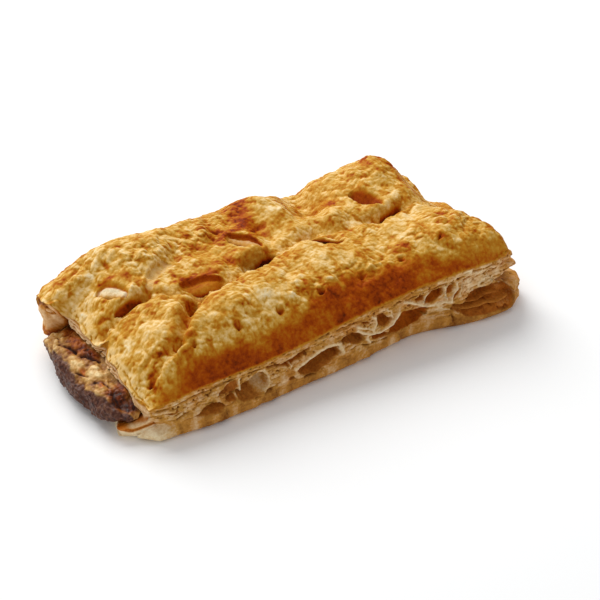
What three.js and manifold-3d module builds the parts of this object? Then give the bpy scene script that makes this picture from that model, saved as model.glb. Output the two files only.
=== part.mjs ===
// A sausage roll: a sheet of puff pastry folded over a length of sausage meat, sealed along the front
// with a row of docking dents, slashed across the top and baked. The cut ends are open, and at the
// left end the meat has pushed out over the lower sheet.
// The frame is +X along the roll, +Y towards the folded back edge and +Z up, in millimetres. The
// origin is at the middle of the base.
import * as THREE from "three";
import { mergeVertices } from "three/addons/utils/BufferGeometryUtils.js";
import Module from "manifold-3d";

const { clamp, lerp, smoothstep, degToRad } = THREE.MathUtils;
const { abs, exp, hypot, max, pow, sign, sin, sqrt } = Math;

// Driving dimensions of the pastry.
const LENGTH = 146; // upper sheet, cut end to cut end
const WIDTH = 74; // front cut edge to the back of the fold
const CROWN = 30.5; // height of the crust between its humps
const LEFT_END = -72.5; // where the upper sheet ends
const RIGHT_END = 72.5;
const FRONT_EDGE = -37;
const BACK_EDGE = 34; // where the crust turns down into the fold
const FOLD_BULGE = 4; // how far the fold swells past BACK_EDGE
const BACK_RIM = 20; // height at which the crust turns into the fold
const CUT_RIM = 17; // height of the crust's left cut edge, next to the notch
const FOLD_RIM = 23; // and at the end of the fold, next to the notch
const FOLD_FALL = 0.47; // how far that rim falls for each millimetre towards the back
const FOOT_ROUND = 1.8; // how far the base is drawn in under the sides
const SUNK = 0.06; // share of the height made below the base, then trimmed off flat

// Driving dimensions of the sausage meat.
const MEAT_LEFT = -84;
const MEAT_RIGHT = 69;
const MEAT_MIDDLE = 5; // how far the meat lies behind the middle of the roll
const MEAT_HALF_WIDTH = 26;
const MEAT_HALF_DEPTH = 6;
const MEAT_HEIGHT = 11.5; // of its middle, above the base
const TONGUE_START = -66; // left of here the meat swells into a tongue
const TONGUE_HALF_WIDTH = 27;
const TONGUE_MIDDLE = -3.5;
const GAP = 0.4; // between the meat and the pastry round it
const PAST_RIGHT_END = 86; // where the channel for the meat stops, clear of the pastry

// Height of the crust's front rim along the roll: x, height.
const FRONT_RIM = [
  [-74, 13],
  [-55, 16.2],
  [-30, 16.6],
  [-14, 18],
  [6, 21],
  [30, 23.4],
  [50, 23.8],
  [70, 22.8],
];
// Humps of the crust: x, y, rise, half length, half width.
const HUMPS = [
  [-48, 22.5, 5, 16, 13], // back left
  [-67, 26, -2.6, 9, 8], // where the back left corner falls away
  [-30, 26, 1.6, 9, 7], // behind the middle
  [6, 27, 3, 7, 8], // back middle, browned ridge
  [58, 22.5, 5.4, 14.5, 13], // back right, the highest
  [-59, -18, 1.5, 10, 10], // front left
  [-26, -18, 3, 17, 9], // front middle left
  [6, -14, 2.5, 15, 9], // front middle
  [54, -20, 3.5, 16, 10], // front right
];
// Creases between the humps: from x, y, to x, y, depth, half width.
const CREASES = [
  [-80, -5, -69, -0.5, 5.5, 2.8],
  [-69, -0.5, -54, 0, 4.5, 2.4],
  [-54, 0, -36, -9, 2.8, 2.4],
  [-36, -9.5, -26, -9.5, 2.4, 2.2],
  [-26, -9.5, -13, -3, 2.2, 2.8],
  [-13, -3, 13, 1, 2.8, 3],
  [13, 1, 38, -3, 2.2, 3.4],
  [38, -3, 78, 4, 3.6, 3.2],
  [-36, -10, -42, -14, 3, 2.2],
  [-42, -14, -54, -26, 3.6, 2.4],
  [-54, -26, -70, -30, 2.6, 2.6],
  [-1, 4, 0, 14, 1.4, 3],
  [23, 20, 29, 44, 7, 7],
  [-46, 8, -34, 14, 1.8, 2.6],
];
// Slashes through the crust: x, y, half length, half width, turn in degrees, depth.
const SLASHES = [
  [-60.1, 9.7, 7, 2.8, -59, 3],
  [-33.4, -4.1, 8.4, 2.8, -17, 2.6],
  [-9.1, 9.1, 7.4, 2.8, -56, 2.6],
  [41.8, 9.3, 7.2, 3.2, -59, 3.2],
  [15.2, -5.6, 6.6, 1.8, -42, 2.8],
  [-58.2, 2.2, 6, 1.5, -3, 3.4],
  [-10.4, -3.8, 8.2, 3, 24, 4],
  [45.6, 0.2, 6, 1.6, 13, 3.4],
];
// Docking dents pressed along the front seal.
const DENT_COUNT = 8;
const DENT_FIRST = [-67, -29.5];
const DENT_STEP = [16.5, 0.45];
const DENT_RADIUS = 1.3;
const DENT_DEPTH = 1.6;
// Air pockets between the leaves at the front cut edge: x, height, half length, half height, tilt in
// degrees, depth.
const POCKETS = [
  [-60, 9.6, 6, 1.0, 8, 3],
  [-48, 6.2, 6, 1.5, 12, 4],
  [-42, 9.6, 4.6, 2.6, 20, 5],
  [-32.6, 9.6, 5.4, 3.4, 24, 5.5],
  [-17, 14, 9.6, 1.3, 6, 5],
  [-22, 7.2, 3.4, 1.3, 14, 3.5],
  [-7, 9.8, 9, 2.4, 10, 5.5],
  [8.4, 11.6, 4.8, 1.6, 14, 4.5],
  [17.4, 15.8, 5.6, 2, 12, 4.5],
  [28, 13.4, 7.6, 2.2, 10, 6],
  [38, 17.6, 6.4, 1.5, 12, 4.5],
  [50, 17.8, 4.4, 0.9, 6, 3],
  [64, 18, 6.4, 1.1, 4, 3.5],
  [62.5, 8.6, 14.5, 4.6, -4, 6.5],
];

const PASTRY_GRID = [54, 28, 9]; // faces along, across and up
const MEAT_GRID = [24, 12, 3];
const POCKET_SIDES = [10, 6];

const pastryLook = { color: 0xc98a3c, roughness: 0.55, metalness: 0 };
const meatLook = { color: 0x8a5a34, roughness: 0.5, metalness: 0 };

const bell = (t) => exp(-t * t);
const rise = (t, from, to) => smoothstep(t, from, to);

// A gentle waviness of about 1 either way, from three crossed waves.
function ripple(a, b, size, phase) {
  const p = a / size;
  const q = b / size;
  const slant = sin(2.1 * p + 1.7 * q + phase) + sin(-1.3 * p + 2.6 * q + 2.3 * phase);
  return (slant + sin(3.3 * p - 0.7 * q + 4.1 * phase)) / 3;
}

// How far x, y lies from the segment between two points.
function offSegment(x, y, [x0, y0, x1, y1]) {
  const dx = x1 - x0;
  const dy = y1 - y0;
  const t = clamp(((x - x0) * dx + (y - y0) * dy) / (dx * dx + dy * dy), 0, 1);
  return hypot(x - x0 - t * dx, y - y0 - t * dy);
}

// The height of a profile of x, height points at x, running level past its ends.
function alongProfile(points, x) {
  const next = points.findIndex(([px]) => px > x);
  if (next <= 0) return points.at(next)[1];
  const [[x0, z0], [x1, z1]] = points.slice(next - 1, next + 1);
  return lerp(z0, z1, (x - x0) / (x1 - x0));
}

// The height of the crust's rim, which climbs from the left end to the right.
function rimHeight(x, y) {
  const alongFront = lerp(alongProfile(FRONT_RIM, x), BACK_RIM, rise(y, -20, 34));
  const atFold = FOLD_RIM - FOLD_FALL * max(0, y - 21.5);
  const atNotch = lerp(CUT_RIM, atFold, rise(y, 18, 22));
  const rim = lerp(alongFront, atNotch, rise(-x, 55, 74) * rise(y, -34, -12));
  const rightDips = 4.8 * bell((y - 15) / 8) + 2.5 * rise(y, 26, 34);
  return rim - rightDips * rise(x, 58, 70);
}

// How much of its full height a surface has at a distance in from an edge that it turns down to.
const shoulder = (inset, width, power) => 1 - pow(1 - clamp(inset / width, 0, 1), power);

// How far the end of the fold stands out past the rest of the left end.
const rolledFold = (y) => 6.5 * rise(y, 20, 25);

// The height of the crust over its whole plan.
function crustHeight(x, y) {
  const front = shoulder(y - FRONT_EDGE, lerp(17, 8, rise(x, 20, 70)), 2.3);
  const back = sqrt(shoulder(BACK_EDGE + 2.5 - y, 9.5, 2));
  const left = shoulder(x - LEFT_END + rolledFold(y), 24, 2);
  const backwards = rise(y, -34, 0);
  const inset = RIGHT_END - 4 * backwards - x;
  const right = shoulder(inset, lerp(3.5, 16, backwards), lerp(2.4, 1.8, backwards));
  let crown = CROWN + 0.9 * ripple(x, y, 9, 1.3) + 0.5 * ripple(x, y, 4.2, 0.4);
  for (const [hx, hy, up, long, wide] of HUMPS)
    crown += up * bell(hypot((x - hx) / long, (y - hy) / wide));
  for (const [x0, y0, x1, y1, down, wide] of CREASES)
    crown -= down * bell(offSegment(x, y, [x0, y0, x1, y1]) / wide);
  const rim = rimHeight(x, y);
  return rim + (crown - rim) * front * back * left * right;
}

// How far the pastry reaches at each side, for a height share s from 0 at the base to 1 at the rim.
const leaf = (s, at, thick) => bell((s - at) / thick);
const foot = (s) => FOOT_ROUND * pow(1 - clamp(s / 0.12, 0, 1), 2);

function frontReach(x, s) {
  const lower =
    2.2 * bell((x + 44) / 22) - 3.6 * bell((x - 34) / 20) + 4 * bell((x - 52) / 17) +
    0.8 * bell((x - 66) / 8);
  const leaves =
    1.1 * leaf(s, 0.2, 0.16) - 1.7 * leaf(s, 0.42, 0.1) + 0.4 * leaf(s, 0.6, 0.07) -
    1.5 * leaf(s, 0.8, 0.06) + 0.5 * leaf(s, 0.97, 0.08);
  const ragged = 0.5 * ripple(x, 40 * s, 4, 2.2);
  return -FRONT_EDGE + lower * (1 - rise(s, 0.3, 0.6)) + leaves + ragged - foot(s);
}

function endReach(y, s, side) {
  const ragged = 0.6 * ripple(y, 40 * s, 5, 3.1 + side);
  const open = 1.8 * leaf(s, 0.5, 0.16) * bell((y - 4) / 34);
  return ragged - open - foot(s);
}

function leftReach(y, s) {
  const notch = 3.2 * bell((y + 3) / 2.6) * rise(s, 0.6, 0.9);
  const corner = bell((y + 30) / 7);
  const turnedUp = 1 - rise(s, lerp(0.12, 0.34, corner), lerp(0.3, 0.5, corner));
  const lip = (5.5 + 2.5 * corner) * turnedUp * (1 - 0.7 * rise(y, 5, 34));
  return -LEFT_END + rolledFold(y) * rise(s, 0, 0.3) - notch + lip + endReach(y, s, 0);
}

function rightReach(y, s) {
  const lip = 8 * (1 - rise(s, 0.36, 0.48)) * (1 - 0.6 * rise(y, 0, 34));
  const flakes =
    (2.2 * leaf(s, 0.88, 0.06) + 4.4 * leaf(s, 0.7, 0.07) - 2 * leaf(s, 0.53, 0.06)) *
    bell((y + 37) / 16);
  return RIGHT_END + lip + flakes + endReach(y, s, 1);
}

function backReach(x, s) {
  const fold = FOLD_BULGE * sqrt(max(0, 1 - pow((s - 0.45) / 0.55, 2)));
  return BACK_EDGE + fold + 0.5 * ripple(x, 20 * s, 9, 5.2) - foot(s);
}

// Where a point of the unit block, -1 to 1 each way, lies on the pastry.
function pastryPoint(u, v, w) {
  const along = (u * LENGTH) / 2;
  const across = (v * WIDTH) / 2;
  const plan = (s) => {
    const corner = max(0, abs(u) - 0.88) * max(0, abs(v) - 0.76) / (0.12 * 0.24);
    const x = lerp(-leftReach(across, s), rightReach(across, s), (u + 1) / 2);
    const y = lerp(-frontReach(along, s), backReach(along, s), (v + 1) / 2);
    const pull = lerp(u < 0 ? 5 : 3.4, 1.2, s) * corner;
    return [x - pull * sign(u), y - pull * sign(v)];
  };
  const s = lerp(-SUNK, 1, (w + 1) / 2);
  return [...plan(s), s * crustHeight(...plan(1))];
}

// Where a point of the unit block lies on the sausage meat, grown outwards by spare.
function meatPoint(u, v, w, spare) {
  const roundness = sqrt(max(0, 1 - 0.42 * v * v * w * w));
  const x0 = MEAT_LEFT + (v < 0 ? 7 : 3.4) * pow(v, 4) - 1.2 * ripple(v * 20, 0, 6, 0.7);
  const x = lerp(x0 - spare, MEAT_RIGHT + spare, (u + 1) / 2);
  const tongue = 1 - rise(x, TONGUE_START - 8, TONGUE_START + 4);
  const tip = 1 - pow(clamp((TONGUE_START - 8 - x) / (TONGUE_START - 8 - MEAT_LEFT), 0, 1), 3);
  const halfWidth = lerp(MEAT_HALF_WIDTH, TONGUE_HALF_WIDTH, tongue) * lerp(0.93, 1, tip);
  const middle = lerp(MEAT_MIDDLE, TONGUE_MIDDLE, tongue);
  const halfDepth = lerp(MEAT_HALF_DEPTH, 5, tongue) * lerp(0.5, 1, tip);
  const height = lerp(MEAT_HEIGHT, 7.8, tongue) - 1.4 * (1 - tip);
  const y = middle + v * (halfWidth * roundness + spare);
  const bumps = tongue * 0.7 * ripple(x, y, 4.4, 1.9);
  const swell = halfDepth * lerp(1, roundness, 0.8) * lerp(0.62, 1, 1 - pow(abs(v), 6));
  const z = height + w * (swell + spare) + (w > 0 ? bumps * w : 0);
  return [x, y, z];
}

// A block of faces, each corner of it moved to where a function says.
function shapedBlock([along, across, up], place) {
  const block = new THREE.BoxGeometry(2, 2, 2, along, across, up);
  const spots = block.attributes.position;
  for (let i = 0; i < spots.count; i++)
    spots.setXYZ(i, ...place(spots.getX(i), spots.getY(i), spots.getZ(i)));
  return block;
}

// A stretched and turned ball, which cuts a slash, dent or air pocket.
function cutter([long, deep, high], turn, [x, y, z], axis) {
  const ball = new THREE.SphereGeometry(1, ...POCKET_SIDES).scale(long, deep, high);
  if (axis === "z") ball.rotateZ(degToRad(turn));
  else ball.rotateY(degToRad(-turn));
  return ball.translate(x, y, z);
}

const wasm = await Module();
wasm.setup();

function toSolid(geometry) {
  const bare = geometry.clone();
  bare.deleteAttribute("normal");
  bare.deleteAttribute("uv");
  const merged = mergeVertices(bare, 1e-4);
  const vertProperties = merged.attributes.position.array;
  const triVerts = new Uint32Array(merged.index.array);
  return new wasm.Manifold(new wasm.Mesh({ numProp: 3, vertProperties, triVerts }));
}

function toGeometry(solid) {
  const { vertProperties, triVerts, numProp } = solid.getMesh();
  const spots = new Float32Array((vertProperties.length / numProp) * 3);
  for (let i = 0; i < spots.length / 3; i++)
    spots.set(vertProperties.subarray(i * numProp, i * numProp + 3), i * 3);
  const geometry = new THREE.BufferGeometry();
  geometry.setAttribute("position", new THREE.BufferAttribute(spots, 3));
  geometry.setIndex(new THREE.BufferAttribute(new Uint32Array(triVerts), 1));
  geometry.computeVertexNormals();
  return geometry;
}

function slashCutters() {
  return SLASHES.map(([x, y, long, wide, turn, depth]) =>
    cutter([long, wide, depth], turn, [x, y, crustHeight(x, y) + 0.5], "z"),
  );
}

function dentCutters() {
  return Array.from({ length: DENT_COUNT }, (_, i) => {
    const [x, y] = DENT_FIRST.map((start, axis) => start + i * DENT_STEP[axis]);
    return cutter([DENT_RADIUS, DENT_RADIUS, DENT_DEPTH], 0, [x, y, crustHeight(x, y) + 0.3], "z");
  });
}

function pocketCutters() {
  return POCKETS.map(([x, z, long, high, tilt, depth]) =>
    cutter([long, depth, high], tilt, [x, FRONT_EDGE - 0.3, z], "y"),
  );
}

function channelCutter() {
  return shapedBlock(MEAT_GRID, (u, v, w) => {
    const [x, y, z] = meatPoint(u, v, w, GAP);
    return [u === 1 ? PAST_RIGHT_END : x, y, z];
  });
}

function makePastry() {
  const underBase = new THREE.BoxGeometry(2 * LENGTH, 2 * WIDTH, 10).translate(0, 0, -5);
  const openings = [...slashCutters(), ...dentCutters(), ...pocketCutters()];
  let solid = toSolid(shapedBlock(PASTRY_GRID, pastryPoint));
  for (const cut of [underBase, channelCutter(), ...openings]) solid = solid.subtract(toSolid(cut));
  return toGeometry(solid);
}

function makeMeat() {
  return shapedBlock(MEAT_GRID, (u, v, w) => meatPoint(u, v, w, 0));
}

function addPiece(group, name, geometry, look) {
  const mesh = new THREE.Mesh(geometry, new THREE.MeshStandardMaterial(look));
  mesh.name = name;
  group.add(mesh);
}

const roll = new THREE.Group();
addPiece(roll, "pastry", makePastry(), pastryLook);
addPiece(roll, "sausage_meat", makeMeat(), meatLook);

// The origin goes to the middle of the base.
const span = new THREE.Box3().setFromObject(roll);
const middle = span.getCenter(new THREE.Vector3());
roll.position.set(-middle.x, -middle.y, -span.min.z);

export default roll;
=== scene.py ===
"""A baked sausage roll: a folded sheet of puff pastry round a flat length of sausage meat.

The shapes are worked out in millimetres, with +X along the roll, +Y towards the folded back edge and
+Z up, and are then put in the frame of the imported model.
"""
from collections import namedtuple

import bpy
import numpy as np
from mathutils import Matrix, Vector


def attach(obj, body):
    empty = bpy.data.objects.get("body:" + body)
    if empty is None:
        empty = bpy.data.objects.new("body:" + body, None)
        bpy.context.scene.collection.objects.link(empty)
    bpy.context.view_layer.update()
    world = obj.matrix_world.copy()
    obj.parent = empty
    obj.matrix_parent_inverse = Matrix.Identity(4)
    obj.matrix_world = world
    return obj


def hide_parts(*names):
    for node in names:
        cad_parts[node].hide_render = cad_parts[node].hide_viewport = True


# The pastry's main sizes, as the solids have them.
LEFT_END, RIGHT_END = -72.5, 72.5
FRONT_EDGE, BACK_EDGE = -37.0, 34.0
LENGTH, WIDTH = 146.0, 74.0
CROWN = 30.5
BACK_RIM, CUT_RIM, FOLD_RIM, FOLD_FALL = 20.0, 17.0, 23.0, 0.47
FOLD_BULGE, FOOT_ROUND = 4.0, 1.8
MIDDLE = (-2.01, -1.44)  # of the base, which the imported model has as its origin
FRONT_RIM = [(-74, 13), (-55, 16.2), (-30, 16.6), (-14, 18), (6, 21), (30, 23.4), (50, 23.8), (70, 22.8)]
HUMPS = [  # x, y, rise, half length, half width
    (-48, 22.5, 5, 16, 13), (-67, 26, -2.6, 9, 8), (-30, 26, 1.6, 9, 7), (6, 27, 3, 7, 8),
    (58, 22.5, 5.4, 14.5, 13), (-59, -18, 1.5, 10, 10), (-26, -18, 3, 17, 9), (6, -14, 2.5, 15, 9),
    (54, -20, 3.5, 16, 10),
]
CREASES = [  # from x, y, to x, y, depth, half width; the side to the right of the way is the steep one
    (-80, -5, -69, -0.5, 5.5, 2.8), (-69, -0.5, -54, 0, 4.5, 2.4), (-54, 0, -36, -9, 2.8, 2.4),
    (-36, -9.5, -26, -9.5, 2.4, 2.2), (-26, -9.5, -13, -3, 2.2, 2.8), (-13, -3, 13, 1, 2.8, 3),
    (13, 1, 38, -3, 2.2, 3.4), (38, -3, 78, 4, 3.6, 3.2), (-42, -14, -36, -10, 3, 2.2),
    (-54, -26, -42, -14, 3.6, 2.4), (-70, -30, -54, -26, 2.6, 2.6),
]
HOLLOWS = [  # from x, y, to x, y, depth, half width
    (-1, 4, 0, 14, 1.4, 3), (23, 20, 29, 44, 7, 7), (-46, 8, -34, 14, 1.8, 2.6),
]
BUMPS = [  # x, y, rise, half length, half width
    (-8, 3.2, 1.6, 7, 2.6), (43, 3.4, 1.2, 6, 2.4), (-58, 5, 0.8, 4, 1.6), (9, 17, 1.2, 5, 6),
    (28, 8, 1, 5, 5), (13, 30, -1.2, 5, 5), (63, 26, -1.4, 2.6, 5), (68, 26, 1, 2.5, 4),
    (-68, 6, 0.8, 4, 4), (-48, -16, 0.8, 4, 6), (-19, 21, 1, 3.5, 4), (12, -12, 0.8, 6, 5),
    (50, -14, 0.8, 7, 5), (51.5, 28, -1.2, 4, 5), (60, 24, 1, 5, 5),
]
RIDGES = [  # height, half width, then x and y along it
    (0.4, 0.6, [(-52, 4.4), (-48.7, 8.5), (-44, 12.5), (-38, 16.5)]),
    (0.7, 1, [(-5, -20), (-10, -24), (-13.5, -27.5)]),
    (0.5, 0.7, [(14, -27.6), (19.6, -25.6), (25, -25.2)]),
    (0.5, 0.7, [(36, -28), (37.6, -25), (37, -21)]), (0.5, 0.8, [(3, -24.4), (6, -25.4), (7.4, -28)]),
    (0.3, 0.5, [(-57, 3.6), (-54, 6.5), (-52.6, 9)]),
    (0.3, 0.5, [(-34, -9.6), (-28, -10.2), (-21, -7.5)]), (0.3, 0.5, [(-24, 4), (-18, 8), (-14, 8.6)]),
]
Slash = namedtuple("Slash", "x y long wide turn depth wall fill pale edge floor")
# A slash has a middle, half length and width, turn in degrees, depth, the far wall's share of its width,
# how much dough fills it, how pale the dough is, and how dark the far edge and the floor are, from browning
# and painted shade.
SLASHES = [
    Slash(-60.1, 9.7, 7.2, 3, -59, 2.4, 1.2, 0.6, 1.0, 0.6, 0.66),
    Slash(-33.4, -4.1, 8.8, 3.4, -17, 1.9, 0.5, 0.2, 0, 0.84, 0.62),
    Slash(-9.1, 9.1, 7.8, 3.1, -56, 1.8, 0.5, 0.5, 0.6, 0.84, 0.6),
    Slash(41.8, 9.3, 7.4, 3.6, -59, 2.8, 2, 0, 0, 0.56, 0.8),
    Slash(15.2, -5.6, 6.8, 2.2, -42, 2.8, 1.6, 0, 0, 0.56, 0.98),
    Slash(-58.2, 2.2, 6, 1.5, -3, 2.4, 1.7, 0, 0, 0.5, 0.88),
    Slash(-10.4, -3.8, 8.8, 3.8, 24, 4.6, 1.4, 0, 0, 0.56, 1.12),
    Slash(45.6, 0.2, 6, 1.7, 13, 3.2, 1.3, 0, 0, 0.6, 0.92),
]
SCAR = [(-48.6, 4), (-44.4, 8.2), (-39, 10.6)]
SCAR_HALF_WIDTH = 1.6
DENT_COUNT, DENT_FIRST, DENT_STEP = 8, (-67, -29.5), (16.5, 0.45)
SLOPE_EDGE = [  # x, y at which the dark of the front slope begins, how softly
    (-72, -36.4, 1.8), (-62, -33.6, 2.2), (-52, -31.8, 2.2), (-43, -31.6, 2.2), (-35, -32, 2.2),
    (-28, -32.8, 2.4), (-19, -32, 2.6), (-11, -30.6, 2.6), (-1, -27, 2.6), (8, -24.8, 2.6),
    (14, -25.2, 2.8), (23, -27, 3), (32, -27.6, 3), (45, -30.8, 3.4), (54, -32.4, 3.6),
    (62, -33.4, 4), (72, -35.6, 4),
]
# Spots of real browning and paleness, with painted shade on flanks turned away from the light and painted
# highlights on some lit slopes.
BROWNING_AND_PAINTED_LIGHT = [  # x, y, how much browner or paler, half length, half width
    (-60, 15.5, 0.22, 3, 1.8), (-54, 12.5, 0.22, 3.5, 2), (-51.5, 7.5, 0.24, 1.6, 2.6),
    (-57.5, 19.5, 0.14, 2.5, 2), (-66, 25, 0.1, 5, 2.4), (-61, 23, -0.12, 6, 4),
    (-68, 3.4, 0.3, 3.5, 3), (-69, 18, 0.1, 2, 2), (-72, 28, 0.2, 2, 4),
    (-46.5, 3.5, 0.3, 1.3, 1.1), (-27, 16, 0.16, 3.5, 7), (-17, 21, 0.26, 3, 4),
    (-37, 0.4, 0.36, 5, 1.5), (-29.5, -1.2, 0.4, 5, 1.6), (-25, 2.4, 0.24, 3, 2),
    (-19, 4.5, 0.26, 2.6, 3), (-15.5, 7.5, 0.26, 1.8, 2.2), (-10, 16, 0.36, 5, 2.4),
    (-4, 20, 0.3, 3.4, 5), (-0.5, 28, 0.3, 4.5, 9), (-2, 13, 0.22, 4, 4), (5, 13, 0.16, 3, 3),
    (27, 20, 0.06, 3, 3), (22, 3, 0.16, 4, 2), (33, 0, 0.1, 4, 3), (38, 15, 0.12, 3, 2),
    (51, 22, 0.04, 3, 5), (61, 12, 0.16, 6, 7), (70, -2, 0.2, 4, 14), (36, -23, 0.3, 2.4, 3),
    (36, -17, 0.12, 2, 2), (48, -24, 0.16, 4, 2.4), (62, -28, 0.12, 5, 3),
    (-55, -5, 0.2, 1.6, 3.4), (-62, -20, 0.16, 2, 1.5), (-42, -12, 0.3, 3, 2),
    (-47, -18, 0.34, 2.6, 4), (-55, -24.5, 0.3, 7, 2), (-64, -26.4, 0.2, 2, 1.6),
    (-11, 1.6, 0.2, 8, 2), (-6, -25.4, 0.26, 3, 2.4), (-8, 26, 0.12, 7, 8),
    (-20, -22, -0.08, 6, 3), (10, -29.5, -0.12, 9, 3), (-14.6, 0.4, 0.16, 2.4, 2),
    (17, -2.6, 0.24, 4, 1.6), (55, 24, 0.07, 10, 8), (38, 22, 0.08, 8, 6), (-58, 18, -0.06, 8, 3),
    (8, 20, -0.12, 5, 6), (52, 6, -0.08, 5, 4), (-70, 14, -0.16, 3, 8), (-69, -10, -0.14, 4, 5),
    (-61, -12, -0.08, 6, 6), (-13, -24, -0.04, 4, 3), (16, -18, -0.12, 5, 2.4),
    (47, -10, -0.12, 6, 4),
]
ROUGH = [  # x, y, how much rougher, half length, half width
    (-20, 20, 0.9, 8, 7), (-38, 18, 0.5, 8, 6), (-47, 17, 0.5, 8, 6), (62, -20, 0.5, 7, 7),
    (40, -22, 0.7, 8, 4), (9, -23, 0.5, 7, 3), (-64, -24, 0.3, 5, 4), (-46, -18, -0.5, 6, 5),
    (30, 4, 0.3, 8, 6), (0, -27, 0.5, 8, 4), (22, -27, 0.5, 9, 4), (3, 17, -0.5, 7, 8),
    (-8, 3, -0.6, 7, 3), (43, 4, -0.4, 7, 4), (-28, -18, -0.2, 9, 6), (66, 8, -0.5, 6, 10),
]
FRONT_POCKETS = [  # depth, warmth of its colour, then x, bottom and top along it
    (3.5, 0.7, [(-56.2, 6.2, 6.4), (-54.8, 5.7, 6.8), (-52.7, 5.3, 7.6), (-50.7, 5.1, 8.2), (-49.2, 5, 8.5),
        (-47.3, 5.4, 8), (-45.9, 5.7, 7.4), (-44.8, 6.1, 6.7)]),
    (1.6, 0.9, [(-65.5, 9.6, 9.9), (-64, 9, 10.1), (-62, 8.9, 9.9), (-61, 9.2, 9.6)]),
    (2, 0.7, [(-46.5, 9.9, 10.6), (-44, 9.4, 12.4), (-42, 9.3, 13.2), (-40, 9.6, 13.8),
        (-38.6, 11.5, 12.5)]),
    (2.6, 0.8, [(-44.3, 7.5, 8.1), (-43, 6.8, 9), (-41.5, 6.4, 9), (-40.6, 6.4, 8.2)]),
    (5, 0.6, [(-40, 6.8, 8.8), (-38.6, 5.5, 10.2), (-36.6, 5.1, 11.6), (-34.5, 5.2, 12.2),
        (-32.5, 5.4, 12.9), (-30.4, 5.6, 12.9), (-29, 6.2, 12), (-27.9, 7, 9.5), (-27.5, 7.6, 8.3)]),
    (3, 0.9, [(-28.4, 14.2, 14.7), (-27, 13, 14.2), (-25, 12.7, 13.5), (-22, 12, 13), (-20, 11.2, 13),
        (-18.5, 11.2, 13.6), (-17, 12, 14), (-15, 12.7, 14.6), (-13, 13.6, 15.2), (-11, 14.6, 15.6)]),
    (2, 0.6, [(-20.4, 6.6, 6.8), (-19.4, 6, 7.2), (-18.3, 5.7, 7), (-17.3, 5.5, 5.9)]),
    (5.5, 0.7, [(-16.3, 8.4, 8.7), (-15.1, 6, 9.3), (-13.1, 5.3, 9.9), (-9.1, 4.9, 11.3), (-7, 5.3, 11.9),
        (-5, 5.8, 12.4), (-3, 7.4, 12.6), (-0.9, 7.7, 12.3), (0.1, 7.9, 11.8), (0.9, 8.5, 9.7)]),
    (4.5, 0.6, [(0.5, 13.2, 13.6), (2, 12, 14.2), (4, 11, 14.7), (6, 9.8, 14.7), (8.2, 8.9, 14.3),
        (9.2, 8.7, 13.2), (10.2, 9.1, 12), (10.9, 9.5, 10.8)]),
    (2.2, 0.9, [(9.5, 17.2, 17.4), (10.5, 16.2, 17.4), (12, 15.9, 17), (13, 15.9, 16.2)]),
    (3.6, 0.8, [(15.6, 16.6, 17), (16.5, 13.5, 18), (18.1, 12.5, 18.2), (19.1, 12.5, 17.2), (20, 13, 16),
        (21.3, 13.8, 15.4), (21.8, 14.4, 15)]),
    (2.8, 0.9, [(14.3, 8.3, 10.6), (15.8, 7.6, 10.5), (18, 7.2, 9.9), (20.4, 7.1, 9.1), (21.3, 7.2, 8.6)]),
    (5, 1.0, [(21.5, 7.3, 8.9), (23.1, 6.8, 12.4), (24.6, 6.4, 14.4), (26.1, 6.2, 15.7), (30.3, 6.1, 15.2),
        (34.3, 6.9, 14.8), (36.1, 8.5, 14.3), (36.8, 11.7, 13.5)]),
    (3.4, 1.0, [(34.6, 16.2, 16.6), (36, 15.6, 18.6), (38, 15.2, 20), (40, 15.6, 20.1), (42, 16.6, 20),
        (43.2, 17.6, 19)]),
    (2.2, 0.9, [(31.4, 18.4, 19.2), (33, 17.3, 19.8), (34.4, 17.2, 19.6), (35.2, 18.2, 18.8)]),
    (2.2, 0.9, [(43.8, 16.8, 17.8), (45, 16.2, 19.2), (46.6, 16.4, 19.2), (47.6, 17.2, 18.6)]),
    (1.8, 0.9, [(46.8, 13, 14), (48, 13, 15.6), (49, 14.2, 16.8), (49.6, 15.4, 16.6)]),
    (1.4, 0.8, [(51, 19, 19.5), (52, 18.8, 19.9), (53, 19.1, 19.8), (53.6, 19.5, 20.1),
        (54.6, 19.6, 20.1)]),
    (1.8, 0.8, [(61.6, 18.6, 19.2), (62.6, 18.3, 19.6), (63.6, 18.6, 19.2), (64.4, 18.7, 20),
        (65.6, 19, 19.8)]),
    (1.6, 1.0, [(68, 18.8, 19.6), (69.4, 18.8, 20.2), (70.6, 19.2, 19.9)]),
    (6, 0.8, [(47, 8.5, 11.4), (49.1, 7, 10.9), (51, 5.8, 10.5), (52.8, 4.3, 11.6), (54.5, 3.6, 13.5),
        (57.2, 3.3, 14), (60, 3.2, 13.8), (62.9, 3.2, 13.1), (65.8, 2.9, 12.3), (68.8, 2.4, 11.5),
        (70.8, 2.4, 10.8), (72.3, 3.3, 9.2), (73.8, 5.4, 6)]),
]
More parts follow.
